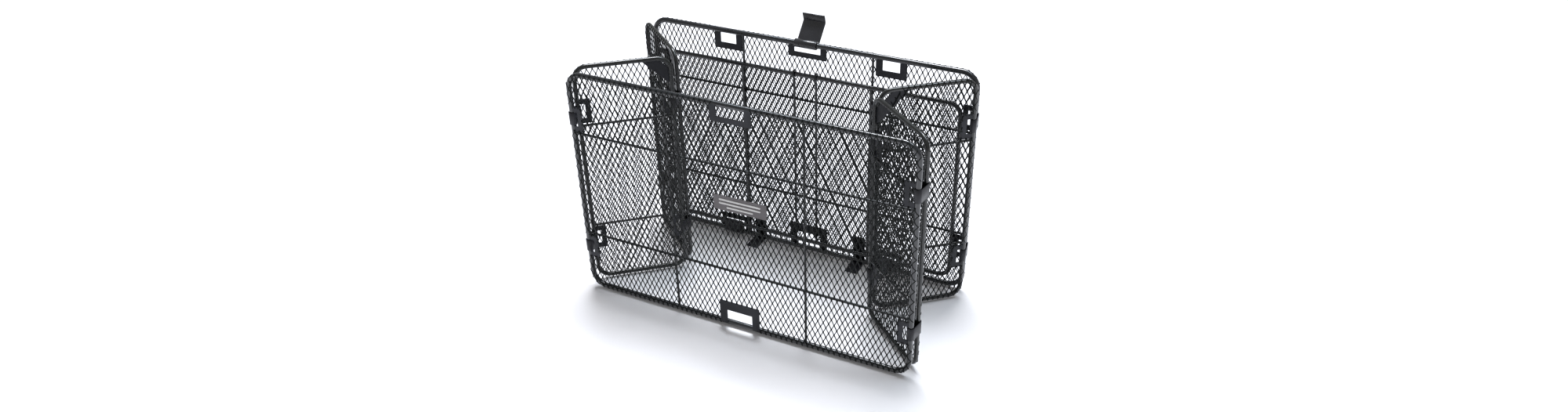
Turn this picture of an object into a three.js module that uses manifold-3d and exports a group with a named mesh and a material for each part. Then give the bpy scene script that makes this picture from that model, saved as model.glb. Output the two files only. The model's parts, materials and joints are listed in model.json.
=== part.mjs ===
// A folding side basket for a bicycle rack: seven mesh panels in round-bar frames, joined by sheet straps.
// Millimetres, +Z up. +X runs along the long side, -Y points away from the rack, +Y is the rack side.
// The panels stand half folded: the sides are bent inwards and the floor is folded up against the back.
import * as THREE from 'three';
import { mergeVertices } from 'three/addons/utils/BufferGeometryUtils.js';
import Module from 'manifold-3d';

const wasm = await Module();
wasm.setup();

// ---------------------------------------------------------------- driving dimensions
const GAP = 0.3; // between pieces that touch or are welded
const WIDTH = 394; // long panels, bar axis to bar axis
const HEIGHT = 269; // all frames, bar axis to bar axis
const MAIN_R = 3; // bar radius of the back and front frames
const HALF_R = 2.5; // bar radius of the side halves and the floor
const ROD_R = 1.4; // radius of the cross rods
const MAIN_CORNER = 17; // bend radius of the long frames, at the bar axis
const HALF_CORNER = 14; // bend radius of the side halves and the floor
const SHEET = 0.6; // thickness of the mesh sheets

const HALF_WIDTH = 104; // side half, bar axis to bar axis
const STRAP_PITCH = 13.6; // bar to bar across a corner strap
const RIDGE_ALONG = 5.12; // ridge fold line, measured past the ridge bar along its half
const RIDGE_OUT = 3.65; // and from the middle of the half towards the outside of the basket
const FOLD = THREE.MathUtils.degToRad(50.2); // side half against the depth of the basket
const STRAP_SWING = THREE.MathUtils.degToRad(11); // corner strap against the depth, outwards

const STRAP_TALL = 15;
const STRAP_WALL = 0.75;
const EYE_PLAY = 0.3; // a strap's eye is this much larger in radius than its bar
const STRAP_HEIGHTS = { upper: 216.5, lower: 53.5 }; // above the axis of the bottom bar
const RIDGE_SLOT = 12.6; // largest bar distance that a ridge strap has to take

const ROD_HEIGHTS = { upper: 199.5, lower: 71 }; // horizontal rods of the long panels and the halves
const LONG_ROD_X = 79.5; // upright rods of the long panels and the floor

const HINGE_PLATE = { wide: 14, tall: 29, leg: 6, open: 17 }; // C plate round a strap
const PLATE_THICK = 1.3;
const HOOK_PLATE = { x: 100, wide: 36, tall: 24, border: 8, foot: 7.5 }; // windows for the rack hooks
const TOP_WINDOW = { wide: 47, tall: 18, border: 7.5, foot: 6 };
const BOTTOM_WINDOW = { wide: 49, tall: 30, border: 9, foot: 11.5 };
const FLOOR_PLATE = { x: 101.6, wide: 40, tall: 19.5, border: 6.5, foot: 6.5 }; // round the floor straps

const FLOOR_Y = -3.1; // floor frame, folded up, against the back frame
const FLOOR_HALF_X = 182.5;
const FLOOR_FOOT = 12;
const FLOOR_TOP = 232.5;
const FLOOR_CENTRE_X = 13.5; // the pair of centre wires
const FLOOR_STRAP = { wide: 24, wall: 0.6, play: 0.2 };

const TONGUE = { x: 66.5, wide: 15, thick: 1.5, up: 30, reach: 22 };
const LATCH = { wide: 27, thick: 1.5, body: 29.2, lip: 10, lean: 43, lipBend: 60 };
const LABEL = { x: 7, z: 157.7, wide: 62, tall: 17.5, thick: 1 };
const BRACE = { run: 33, band: 13, thick: 1.2, lift: 0.7, lap: 9 }; // flat band across a ridge corner
const WELD = 1; // how far a hinge plate reaches into the bar that it is welded to
const PLATE_REST = 0.4; // how far a window plate, lying on the outside of its bar, is sunk into it
const PLATE_SINK = 0.5; // outer face of a hinge plate, below the outside of its bar
const SHEET_SINK = 0.35; // inner face of a mesh sheet, below the outside of its bar
const BAR_SIDES = 10;
const EYE_SIDES = 16;
const SIDES = [-1, 1];
const CUT_DEEP = 10; // half the length of a cutting block, more than any panel is thick

// ---------------------------------------------------------------- positions that follow from them
const strapDepth = STRAP_PITCH * Math.cos(STRAP_SWING);
const strapOut = STRAP_PITCH * Math.sin(STRAP_SWING);
const ridgeDepth = RIDGE_ALONG * Math.cos(FOLD) + RIDGE_OUT * Math.sin(FOLD);
const DEPTH = 2 * (strapDepth + HALF_WIDTH * Math.cos(FOLD) + ridgeDepth); // back bars to front bars
const hingeX = WIDTH / 2 + strapOut; // outer bar of a side half

// ---------------------------------------------------------------- materials
function steel(color, roughness) {
  return new THREE.MeshStandardMaterial({ color, roughness, metalness: 0.4 });
}
const COAT = { frame: 0x17181b, mesh: 0x1d1e22, rod: 0x191a1d, plate: 0x202126, strap: 0x24252b };
const LABEL_GREY = 0x66615f;

// ---------------------------------------------------------------- solids
function toSolid(geometry) {
  const bare = geometry.clone();
  bare.deleteAttribute('normal');
  bare.deleteAttribute('uv');
  const merged = mergeVertices(bare, 1e-4);
  const triVerts = new Uint32Array(merged.index.array);
  const vertProperties = new Float32Array(merged.attributes.position.array);
  return new wasm.Manifold(new wasm.Mesh({ numProp: 3, vertProperties, triVerts }));
}

function toGeometry(solid) {
  const mesh = solid.getMesh();
  const geometry = new THREE.BufferGeometry();
  geometry.setAttribute('position', new THREE.BufferAttribute(mesh.vertProperties, 3));
  geometry.setIndex(new THREE.BufferAttribute(mesh.triVerts, 1));
  const flat = geometry.toNonIndexed();
  flat.computeVertexNormals();
  return flat;
}

function join(...geometries) {
  return toGeometry(geometries.map(toSolid).reduce((whole, next) => whole.add(next)));
}

function cut(geometry, ...tools) {
  return toGeometry(tools.map(toSolid).reduce((whole, tool) => whole.subtract(tool), toSolid(geometry)));
}

function box(x0, x1, y0, y1, z0, z1) {
  const geometry = new THREE.BoxGeometry(x1 - x0, y1 - y0, z1 - z0);
  return geometry.translate((x0 + x1) / 2, (y0 + y1) / 2, (z0 + z1) / 2);
}

// A bar bent round a rectangle in the XZ plane, starting in the middle of its foot.
class FramePath extends THREE.Curve {
  constructor(x0, x1, z0, z1, corner, arcSteps = 4) {
    super();
    this.stations = [new THREE.Vector3((x0 + x1) / 2, 0, z0)];
    const [left, right, low, high] = [x0 + corner, x1 - corner, z0 + corner, z1 - corner];
    const centres = [[right, low], [right, high], [left, high], [left, low]];
    centres.forEach(([x, z], quarter) => {
      for (let i = 0; i <= arcSteps; i++) {
        const angle = (quarter - 1 + i / arcSteps) * Math.PI / 2;
        const bend = new THREE.Vector3(corner * Math.cos(angle), 0, corner * Math.sin(angle));
        this.stations.push(bend.add(new THREE.Vector3(x, 0, z)));
      }
    });
    this.stations.push(this.stations[0].clone());
  }

  get steps() {
    return this.stations.length - 1;
  }

  getUtoTmapping(u) {
    return u;
  }

  getPoint(t) {
    const place = Math.min(Math.max(t, 0), 1) * this.steps;
    const i = Math.min(Math.floor(place), this.steps - 1);
    return this.stations[i].clone().lerp(this.stations[i + 1], place - i);
  }
}

function circle(radius, sides) {
  const points = [];
  for (let i = 0; i < sides; i++) {
    const angle = (i + 0.5) * 2 * Math.PI / sides;
    points.push(new THREE.Vector2(radius * Math.cos(angle), radius * Math.sin(angle)));
  }
  return new THREE.Shape(points);
}

// The closed ring has no ends, so only the swept sides of the extrusion are kept.
function frameRing(x0, x1, z0, z1, corner, radius) {
  const path = new FramePath(x0, x1, z0, z1, corner);
  const options = { steps: path.steps, bevelEnabled: false, extrudePath: path };
  const swept = new THREE.ExtrudeGeometry(circle(radius, BAR_SIDES), options);
  const sides = swept.groups[1];
  const ring = new THREE.BufferGeometry();
  const positions = swept.attributes.position.array.slice(sides.start * 3, (sides.start + sides.count) * 3);
  ring.setAttribute('position', new THREE.BufferAttribute(positions, 3));
  return ring;
}

function rod(radius, from, to, sides = 8) {
  const along = to.clone().sub(from);
  const middle = from.clone().add(to).multiplyScalar(0.5);
  const geometry = new THREE.CylinderGeometry(radius, radius, along.length(), sides);
  const turn = new THREE.Quaternion().setFromUnitVectors(new THREE.Vector3(0, 1, 0), along.normalize());
  return geometry.applyQuaternion(turn).translate(...middle.toArray());
}

function level(radius, x0, x1, y, z) {
  return rod(radius, new THREE.Vector3(x0, y, z), new THREE.Vector3(x1, y, z));
}

function upright(radius, x, y, z0, z1) {
  return rod(radius, new THREE.Vector3(x, y, z0), new THREE.Vector3(x, y, z1));
}

// The outline round two circles on the X axis: near at the origin and far at the pitch.
function ovalPoints(pitch, near, far, arcSteps = 6) {
  const touch = Math.acos((near - far) / pitch);
  const points = [];
  const arcs = [[pitch, far, -touch, touch], [0, near, touch, 2 * Math.PI - touch]];
  for (const [x, radius, from, to] of arcs) {
    for (let i = 0; i <= arcSteps; i++) {
      const angle = from + (to - from) * i / arcSteps;
      points.push(new THREE.Vector2(x + radius * Math.cos(angle), radius * Math.sin(angle)));
    }
  }
  return points;
}

// A sheet collar round two bars: an oval loop from the origin along +X, with the given height along Z.
function collar(pitch, nearBar, farBar, tall, wall = STRAP_WALL, play = EYE_PLAY) {
  const shape = new THREE.Shape(ovalPoints(pitch, nearBar + play + wall, farBar + play + wall));
  shape.holes.push(new THREE.Path(ovalPoints(pitch, nearBar + play, farBar + play)));
  return new THREE.ExtrudeGeometry(shape, { depth: tall, bevelEnabled: false }).translate(0, 0, -tall / 2);
}

// A U plate on the outside of a bar at z = 0, hanging into a frame: side legs, and a foot across them.
function windowPlate(x, { wide, tall, border, foot }, up = -1) {
  const out = [MAIN_R - PLATE_REST, MAIN_R - PLATE_REST + PLATE_THICK];
  const zFoot = [up * tall, up * (tall - foot)].sort((a, b) => a - b);
  const zLeg = [up * tall, 0].sort((a, b) => a - b);
  return join(
    box(x - wide / 2, x + wide / 2, ...out, ...zFoot),
    box(x - wide / 2, x - wide / 2 + border, ...out, ...zLeg),
    box(x + wide / 2 - border, x + wide / 2, ...out, ...zLeg));
}

// A C plate beside an upright bar at x, opening towards the bar; side is the way into the panel.
function hingePlate(x, z, side, out, barRadius) {
  const span = (a, b) => [x + side * a, x + side * b].sort((p, q) => p - q);
  const { wide, tall, leg, open } = HINGE_PLATE;
  return join(
    box(...span(wide - leg, wide), ...out, z - tall / 2, z + tall / 2),
    box(...span(barRadius - WELD, wide), ...out, z + open / 2, z + tall / 2),
    box(...span(barRadius - WELD, wide), ...out, z - tall / 2, z - open / 2));
}

function hingePlateCut(x, z, side) {
  const reach = HINGE_PLATE.wide + GAP;
  const tall = HINGE_PLATE.tall / 2 + GAP;
  const [x0, x1] = [x - side * MAIN_R, x + side * reach].sort((p, q) => p - q);
  return box(x0, x1, -CUT_DEEP, CUT_DEEP, z - tall, z + tall);
}

function plateCut(x, wide, z0, z1) {
  return box(x - wide / 2 - GAP, x + wide / 2 + GAP, -CUT_DEEP, CUT_DEEP, z0, z1);
}

function roundedSheet(x0, x1, z0, z1, corner, y0, y1) {
  const shape = new THREE.Shape();
  shape.moveTo(x0 + corner, z0);
  shape.lineTo(x1 - corner, z0);
  shape.absarc(x1 - corner, z0 + corner, corner, -Math.PI / 2, 0);
  shape.absarc(x1 - corner, z1 - corner, corner, 0, Math.PI / 2);
  shape.absarc(x0 + corner, z1 - corner, corner, Math.PI / 2, Math.PI);
  shape.absarc(x0 + corner, z0 + corner, corner, Math.PI, 3 * Math.PI / 2);
  const slab = new THREE.ExtrudeGeometry(shape, { depth: y1 - y0, bevelEnabled: false, curveSegments: 4 });
  return slab.rotateX(Math.PI / 2).translate(0, y1, 0);
}

// Mirrors a solid in the XZ plane, turning its faces so that they still point out.
function mirrorY(geometry) {
  const flat = geometry.index ? geometry.toNonIndexed() : geometry.clone();
  flat.scale(1, -1, 1);
  const p = flat.attributes.position;
  for (let i = 0; i < p.count; i += 3) {
    const [x, y, z] = [p.getX(i), p.getY(i), p.getZ(i)];
    p.setXYZ(i, p.getX(i + 2), p.getY(i + 2), p.getZ(i + 2));
    p.setXYZ(i + 2, x, y, z);
  }
  flat.computeVertexNormals();
  return flat;
}

// ---------------------------------------------------------------- scene graph
const basket = new THREE.Group();

function put(parent, name, geometry, color, roughness = 0.42) {
  const mesh = new THREE.Mesh(geometry, steel(color, roughness));
  mesh.name = name;
  parent.add(mesh);
  return mesh;
}

function groupAt(x, y, turn = 0) {
  const group = new THREE.Group();
  group.position.set(x, y, 0);
  group.rotation.z = turn;
  basket.add(group);
  return group;
}

// ---------------------------------------------------------------- long panels
const PLATE_OUT = [MAIN_R - PLATE_SINK - PLATE_THICK, MAIN_R - PLATE_SINK];
const SHEET_OUT = [MAIN_R - SHEET_SINK, MAIN_R - SHEET_SINK + SHEET];
const SHEET_MARGIN = 2.1; // bar axis to the edge of a mesh sheet
const ROD_OUT = MAIN_R - SHEET_SINK - GAP - ROD_R;

// Built with +Y as the outer side; the front panel is the same thing turned round.
function longFrame(extraPlates) {
  const ring = frameRing(-WIDTH / 2, WIDTH / 2, 0, HEIGHT, MAIN_CORNER, MAIN_R);
  const hinges = [];
  for (const z of Object.values(STRAP_HEIGHTS)) {
    for (const side of SIDES) {
      hinges.push(hingePlate(side * WIDTH / 2, z, -side, PLATE_OUT, MAIN_R));
    }
  }
  const top = windowPlate(0, TOP_WINDOW).translate(0, 0, HEIGHT);
  const foot = windowPlate(0, BOTTOM_WINDOW, 1);
  return join(ring, ...hinges, top, foot, ...extraPlates);
}

function longSheet(extraCuts) {
  const m = SHEET_MARGIN;
  const sheet = roundedSheet(-WIDTH / 2 + m, WIDTH / 2 - m, m, HEIGHT - m, MAIN_CORNER - m, ...SHEET_OUT);
  const cuts = [
    plateCut(0, TOP_WINDOW.wide, HEIGHT - TOP_WINDOW.tall - GAP, HEIGHT),
    plateCut(0, BOTTOM_WINDOW.wide, 0, BOTTOM_WINDOW.tall + GAP),
  ];
  for (const z of Object.values(STRAP_HEIGHTS)) {
    for (const side of SIDES) {
      cuts.push(hingePlateCut(side * WIDTH / 2, z, -side));
    }
  }
  return cut(sheet, ...cuts, ...extraCuts);
}

// Four rods welded where they cross.
function rodGrid() {
  const inner = MAIN_R + GAP;
  const end = WIDTH / 2 - inner;
  const levels = Object.values(ROD_HEIGHTS).map((z) => level(ROD_R, -end, end, ROD_OUT, z));
  const uprights = SIDES.map((side) => upright(ROD_R, side * LONG_ROD_X, ROD_OUT, inner, HEIGHT - inner));
  return join(...levels, ...uprights);
}

const back = groupAt(0, 0);
const front = groupAt(0, -DEPTH, Math.PI);
const rackPlates = SIDES.map((s) => windowPlate(s * HOOK_PLATE.x, HOOK_PLATE).translate(0, 0, HEIGHT));
const floorPlates = SIDES.map((s) => windowPlate(s * FLOOR_PLATE.x, FLOOR_PLATE, 1));
const underHooks = HEIGHT - HOOK_PLATE.tall - GAP;
const rackCuts = SIDES.map((s) => plateCut(s * HOOK_PLATE.x, HOOK_PLATE.wide, underHooks, HEIGHT));
const aboveStraps = FLOOR_PLATE.tall + GAP;
const floorCuts = SIDES.map((s) => plateCut(s * FLOOR_PLATE.x, FLOOR_PLATE.wide, 0, aboveStraps));

put(back, 'back_frame', longFrame([...rackPlates, ...floorPlates]), COAT.frame);
put(back, 'back_mesh', longSheet([...rackCuts, ...floorCuts]), COAT.mesh);
put(back, 'back_rods', rodGrid(), COAT.rod);
put(front, 'front_frame', longFrame([]), COAT.frame);
put(front, 'front_mesh', longSheet([]), COAT.mesh);
put(front, 'front_rods', rodGrid(), COAT.rod);

// ---------------------------------------------------------------- side halves
const HALF_PLATE_OUT = [HALF_R - PLATE_SINK - PLATE_THICK, HALF_R - PLATE_SINK];
const HALF_SHEET_OUT = [HALF_R - SHEET_SINK, HALF_R - SHEET_SINK + SHEET];
const HALF_MARGIN = 1.8; // bar axis to the edge of a mesh sheet
const HALF_ROD_OUT = HALF_R - SHEET_SINK - GAP - ROD_R;
const BRACE_OUT = [BRACE.lift, BRACE.lift + BRACE.thick];

// A half runs from its outer bar at x = 0 to its ridge bar at x = HALF_WIDTH, with +Y as the outer side.
function halfFrameSolid() {
  const ring = frameRing(0, HALF_WIDTH, 0, HEIGHT, HALF_CORNER, HALF_R);
  const plates = [];
  for (const z of Object.values(STRAP_HEIGHTS)) {
    plates.push(hingePlate(0, z, 1, HALF_PLATE_OUT, HALF_R));
    plates.push(hingePlate(HALF_WIDTH, z, -1, HALF_PLATE_OUT, HALF_R));
  }
  return join(ring, ...plates);
}

// The triangle that the brace cuts off at the ridge corner, made larger by grow along both bars.
function cornerTriangle(grow, y0, y1) {
  const shape = new THREE.Shape();
  shape.moveTo(HALF_WIDTH - BRACE.run - grow, HEIGHT);
  shape.lineTo(HALF_WIDTH, HEIGHT - BRACE.run - grow);
  shape.lineTo(HALF_WIDTH, HEIGHT);
  shape.closePath();
  const slab = new THREE.ExtrudeGeometry(shape, { depth: y1 - y0, bevelEnabled: false });
  return slab.rotateX(Math.PI / 2).translate(0, y1, 0);
}

function halfSheet() {
  const m = HALF_MARGIN;
  const sheet = roundedSheet(m, HALF_WIDTH - m, m, HEIGHT - m, HALF_CORNER - m, ...HALF_SHEET_OUT);
  const cuts = [cornerTriangle(-BRACE.lap, -CUT_DEEP, CUT_DEEP)];
  for (const z of Object.values(STRAP_HEIGHTS)) {
    cuts.push(hingePlateCut(0, z, 1));
    cuts.push(hingePlateCut(HALF_WIDTH, z, -1));
  }
  return cut(sheet, ...cuts);
}

// A flat band across the top corner at the ridge.
function cornerBrace() {
  const outer = cornerTriangle(0, ...BRACE_OUT);
  const inner = cornerTriangle(-BRACE.band * Math.SQRT2, -CUT_DEEP, CUT_DEEP);
  const bar = HALF_R + GAP;
  const topBar = box(0, HALF_WIDTH, -CUT_DEEP, CUT_DEEP, HEIGHT - bar, HEIGHT);
  const ridgeBar = box(HALF_WIDTH - bar, HALF_WIDTH, -CUT_DEEP, CUT_DEEP, 0, HEIGHT);
  return cut(outer, inner, topBar, ridgeBar);
}

function halfRod(z) {
  const inner = HALF_R + GAP;
  return level(ROD_R, inner, HALF_WIDTH - inner, HALF_ROD_OUT, z);
}

const halves = {
  right_rear: { side: 1, depthwise: -1 },
  right_front: { side: 1, depthwise: 1 },
  left_rear: { side: -1, depthwise: -1 },
  left_front: { side: -1, depthwise: 1 },
};

for (const [name, { side, depthwise }] of Object.entries(halves)) {
  const outerY = depthwise < 0 ? -strapDepth : strapDepth - DEPTH;
  const along = Math.atan2(depthwise * Math.cos(FOLD), -side * Math.sin(FOLD));
  const half = groupAt(side * hingeX, outerY, along);
  // the outer face is to the left of the run from hinge to ridge on two of the halves
  const turned = (geometry) => (side * depthwise < 0 ? geometry : mirrorY(geometry));
  put(half, `${name}_frame`, turned(halfFrameSolid()), COAT.frame);
  put(half, `${name}_mesh`, turned(halfSheet()), COAT.mesh);
  put(half, `${name}_corner_brace`, turned(cornerBrace()), COAT.plate);
  for (const [where, z] of Object.entries(ROD_HEIGHTS)) {
    put(half, `${name}_${where}_rod`, turned(halfRod(z)), COAT.rod);
  }
}

// ---------------------------------------------------------------- hinge straps
for (const [sideName, side] of [['left', -1], ['right', 1]]) {
  const ridgeX = side * (hingeX - HALF_WIDTH * Math.sin(FOLD));
  const ridgeY = -strapDepth - HALF_WIDTH * Math.cos(FOLD);
  for (const [where, z] of Object.entries(STRAP_HEIGHTS)) {
    for (const [end, y, towards] of [['back', 0, -1], ['front', -DEPTH, 1]]) {
      const turn = Math.atan2(towards * strapDepth, side * strapOut);
      const hinge = groupAt(side * WIDTH / 2, y, turn);
      const corner = collar(STRAP_PITCH, MAIN_R, HALF_R, STRAP_TALL).translate(0, 0, z);
      put(hinge, `${end}_${sideName}_${where}_strap`, corner, COAT.strap);
    }
    const ridge = groupAt(ridgeX, ridgeY, -Math.PI / 2);
    const slotted = collar(RIDGE_SLOT, HALF_R, HALF_R, STRAP_TALL).translate(0, 0, z);
    put(ridge, `ridge_${sideName}_${where}_strap`, slotted, COAT.strap);
  }
}

// ---------------------------------------------------------------- floor, folded up against the back
const floor = groupAt(0, FLOOR_Y);
const FLOOR_OUTLINE = [-FLOOR_HALF_X, FLOOR_HALF_X, FLOOR_FOOT, FLOOR_TOP];
const FLOOR_SHEET_BACK = HALF_R - 0.4; // rear face of the floor's mesh, clear of the back's rods
const FLOOR_SHEET_Y = [FLOOR_SHEET_BACK - SHEET, FLOOR_SHEET_BACK];
const FLOOR_MARGIN = 2.2; // bar axis to the edge of the mesh sheet
const EYE_R = HALF_R + GAP + 2 * ROD_R; // outside of a centre wire's eye
put(floor, 'floor_frame', frameRing(...FLOOR_OUTLINE, HALF_CORNER, HALF_R), COAT.frame);

function floorSheet() {
  const [x0, x1, z0, z1] = FLOOR_OUTLINE;
  const m = FLOOR_MARGIN;
  const sheet = roundedSheet(x0 + m, x1 - m, z0 + m, z1 - m, HALF_CORNER - m, ...FLOOR_SHEET_Y);
  const strapTop = FLOOR_FOOT + HALF_R + FLOOR_STRAP.play + FLOOR_STRAP.wall + GAP;
  const eyeFoot = FLOOR_TOP - EYE_R - GAP;
  const strapCuts = SIDES.map((s) => plateCut(s * FLOOR_PLATE.x, FLOOR_STRAP.wide, 0, strapTop));
  const eyeCuts = SIDES.map((s) => plateCut(s * FLOOR_CENTRE_X, 2 * ROD_R, eyeFoot, FLOOR_TOP));
  return cut(sheet, ...strapCuts, ...eyeCuts);
}
put(floor, 'floor_mesh', floorSheet(), COAT.mesh);
const floorRodY = FLOOR_SHEET_Y[0] - GAP - ROD_R;
const [floorRodFoot, floorRodTop] = [FLOOR_FOOT + HALF_R + GAP, FLOOR_TOP - HALF_R - GAP];
for (const [name, x] of [['left', -LONG_ROD_X], ['right', LONG_ROD_X]]) {
  put(floor, `floor_${name}_rod`, upright(ROD_R, x, floorRodY, floorRodFoot, floorRodTop), COAT.rod);
}

// Each centre wire ends in an eye round the free rail of the floor.
for (const [name, x] of [['left', -FLOOR_CENTRE_X], ['right', FLOOR_CENTRE_X]]) {
  const eye = circle(EYE_R, EYE_SIDES);
  eye.holes.push(circle(HALF_R + GAP, EYE_SIDES));
  const ring = new THREE.ExtrudeGeometry(eye, { depth: 2 * ROD_R, bevelEnabled: false })
    .rotateY(Math.PI / 2).translate(x - ROD_R, 0, FLOOR_TOP);
  const wire = upright(ROD_R, x, floorRodY, floorRodFoot, floorRodTop - WELD);
  put(floor, `floor_centre_${name}_wire`, join(ring, wire), COAT.rod);
}

for (const [name, side] of [['left', -1], ['right', 1]]) {
  const rise = Math.atan2(FLOOR_FOOT, FLOOR_Y);
  const pitch = Math.hypot(FLOOR_FOOT, FLOOR_Y);
  const strap = collar(pitch, MAIN_R, HALF_R, FLOOR_STRAP.wide, FLOOR_STRAP.wall, FLOOR_STRAP.play)
    .rotateZ(rise).rotateX(Math.PI / 2).rotateZ(Math.PI / 2).translate(side * FLOOR_PLATE.x, 0, 0);
  put(basket, `floor_${name}_strap`, strap, COAT.strap);
}

// ---------------------------------------------------------------- tongues, latch and label
for (const [name, side] of [['left', -1], ['right', 1]]) {
  const x0 = side * TONGUE.x - TONGUE.wide / 2;
  const rear = SHEET_OUT[1] + GAP;
  const under = -MAIN_R - GAP;
  const leg = box(x0, x0 + TONGUE.wide, rear, rear + TONGUE.thick, under - TONGUE.thick, TONGUE.up);
  const ledge = box(x0, x0 + TONGUE.wide, -TONGUE.reach, rear + TONGUE.thick, under - TONGUE.thick, under);
  put(basket, `${name}_floor_tongue`, join(leg, ledge), COAT.plate);
}

function latchHook() {
  const eyeOut = MAIN_R + EYE_PLAY + LATCH.thick;
  const eye = circle(eyeOut, EYE_SIDES);
  eye.holes.push(circle(MAIN_R + EYE_PLAY, EYE_SIDES));
  const ring = new THREE.ExtrudeGeometry(eye, { depth: LATCH.wide, bevelEnabled: false })
    .rotateY(Math.PI / 2).translate(-LATCH.wide / 2, 0, 0);
  // drawn closed: the body lies over both top bars and the lip hangs in front of the front one
  const half = LATCH.wide / 2;
  const body = box(-half, half, -LATCH.body, 0, eyeOut - LATCH.thick, eyeOut);
  const lip = box(-half, half, -LATCH.thick, 0, -LATCH.lip, 0)
    .rotateX(THREE.MathUtils.degToRad(LATCH.lipBend - 90))
    .translate(0, -LATCH.body + LATCH.thick / 2, eyeOut);
  return join(ring, body, lip).rotateX(-THREE.MathUtils.degToRad(90 + LATCH.lean));
}
put(basket, 'latch_hook', latchHook(), COAT.strap).position.z = HEIGHT;

const labelY = -DEPTH - SHEET_OUT[1] - GAP;
const label = new THREE.BoxGeometry(LABEL.wide, LABEL.thick, LABEL.tall);
put(basket, 'label_plate', label.translate(LABEL.x, labelY - LABEL.thick / 2, LABEL.z), LABEL_GREY, 0.5);

// ---------------------------------------------------------------- origin: middle of the footprint
const bounds = new THREE.Box3().setFromObject(basket, true);
const middle = bounds.getCenter(new THREE.Vector3());
basket.position.set(-middle.x, -middle.y, -bounds.min.z);

export default basket;
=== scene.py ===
"""A folding bicycle side basket: expanded-mesh panels in round-bar frames, joined by sheet straps.

Panels are drawn flat, in millimetres: u along the panel, n towards its outer side, z up from its bottom bar.
"""
import json
import math

import bpy
import numpy as np
from mathutils import Matrix, Quaternion, Vector


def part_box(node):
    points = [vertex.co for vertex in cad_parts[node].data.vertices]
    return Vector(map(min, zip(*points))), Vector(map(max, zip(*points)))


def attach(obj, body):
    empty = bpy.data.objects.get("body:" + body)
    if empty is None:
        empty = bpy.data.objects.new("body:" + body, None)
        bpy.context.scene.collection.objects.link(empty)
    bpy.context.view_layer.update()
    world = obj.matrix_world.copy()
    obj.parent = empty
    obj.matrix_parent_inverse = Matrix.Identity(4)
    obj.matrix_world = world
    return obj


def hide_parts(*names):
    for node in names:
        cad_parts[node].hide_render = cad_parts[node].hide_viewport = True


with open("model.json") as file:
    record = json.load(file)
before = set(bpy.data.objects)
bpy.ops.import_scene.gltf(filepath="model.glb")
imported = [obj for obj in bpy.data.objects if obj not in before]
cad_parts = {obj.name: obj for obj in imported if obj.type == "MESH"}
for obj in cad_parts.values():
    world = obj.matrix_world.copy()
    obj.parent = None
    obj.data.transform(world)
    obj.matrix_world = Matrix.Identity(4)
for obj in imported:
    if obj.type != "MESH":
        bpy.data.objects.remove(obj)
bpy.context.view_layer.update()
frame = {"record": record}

MM = 0.001
SIDES = (("left", -1), ("right", 1))

# ---------------------------------------------------------------- dimensions, in millimetres
MAIN_R, HALF_R, ROD_R = 3.0, 2.5, 1.4
MAIN_CORNER, HALF_CORNER = 17.0, 14.0
ROD_HEIGHTS = {"upper": 199.5, "lower": 71.0}
LONG_ROD_U = 79.5
PLATE_THICK = 1.3
PLATE_SINK = 0.5  # outer face of a hinge plate, below the outside of its bar
PLATE_REST = 0.4  # how far a window plate is sunk into the bar that it lies on
PLATE_NEAR = 1.0  # a hinge plate's legs reach this far into their bar
PLATE_EDGE = 0.3  # softened edges of the punched plates
SHEET_SINK = 0.05  # middle of the mesh, below the outside of its bars
HINGE_PLATE = {"wide": 14.0, "tall": 29.0, "leg": 6.0, "open": 17.0}
HOOK_PLATE = {"u": 100.0, "wide": 36.0, "tall": 24.0, "border": 8.0, "foot": 7.5}
TOP_WINDOW = {"u": 0.0, "wide": 47.0, "tall": 18.0, "border": 7.5, "foot": 6.0}
BOTTOM_WINDOW = {"u": 0.0, "wide": 49.0, "tall": 30.0, "border": 9.0, "foot": 11.5}
FLOOR_PLATE = {"u": 101.6, "wide": 40.0, "tall": 19.5, "border": 6.5, "foot": 6.5}
FLOOR_CENTRE_U = 13.5
FLOOR_SHEET_N = 1.8  # middle of the floor's mesh, rearwards of its bars
FLOOR_INSET = 1.2  # edge of the floor's mesh, inside the axes of its bars
FLOOR_GAP = 1.0  # between the floor's mesh and its straps and wires
BRACE = {"run": 33.0, "band": 13.0, "n": 1.3, "thick": 1.2, "lap": 9.0, "edge": 0.25}
STRAP = {"tall": 15.0, "wall": 0.75, "play": 0.3, "ridge": 12.6}
FLOOR_STRAP = {"tall": 24.0, "wall": 0.6, "play": 0.2}
PAINT = 0.1  # what the coat adds to a strap's sheet
# "hold" is where a flat stretch gets one more point, which keeps the smooth shading out of it.
LATCH = {"wide": 27.0, "thick": 1.5, "body": 29.2, "lip": 10.0, "lean": 43.0, "bend": 60.0, "radius": 1.6,
         "curl": 300.0, "hold": 3.0, "soft": 0.4}
TONGUE = {"u": 66.5, "wide": 15.0, "thick": 1.5, "up": 30.0, "reach": 22.0, "radius": 2.4, "hold": 2.0,
          "soft": 0.35}
LABEL = {"corner": 1.4, "relief": 0.45, "line": 2.0, "line_corner": 0.9, "edge": 0.2}
LABEL_LINES = ((4.2, 0.78), (0.0, 0.78), (-4.2, 0.5))  # height, and length as a share of the plate

# Welds: rods run into their bars and flare out there, and beads lie where parts cross or lap.
ROD_SINK = 0.6  # from a bar's axis to the end of a rod, as a share of the bar's radius
ROD_FLARE = 1.45
FLARE_REACH = (0, 0.8, 1.8, 3.4)  # distances from a rod's end
FLARE_LEFT = (1, 0.75, 0.25, 0)  # and what is left of the flare there
CROSS_BEAD = (2.1, 1.5, 2.1)
LEG_BEAD = {"wide": 0.32, "deep": 1.1, "tall": 1.3, "up": 0.7}  # wide: share of the leg, up: of the radius
SPOT_WELD = {"size": (1.3, 1.3, 0.35), "up": 0.25, "sink": 0.3}  # up: share of the strap, sink: of its wall

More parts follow.
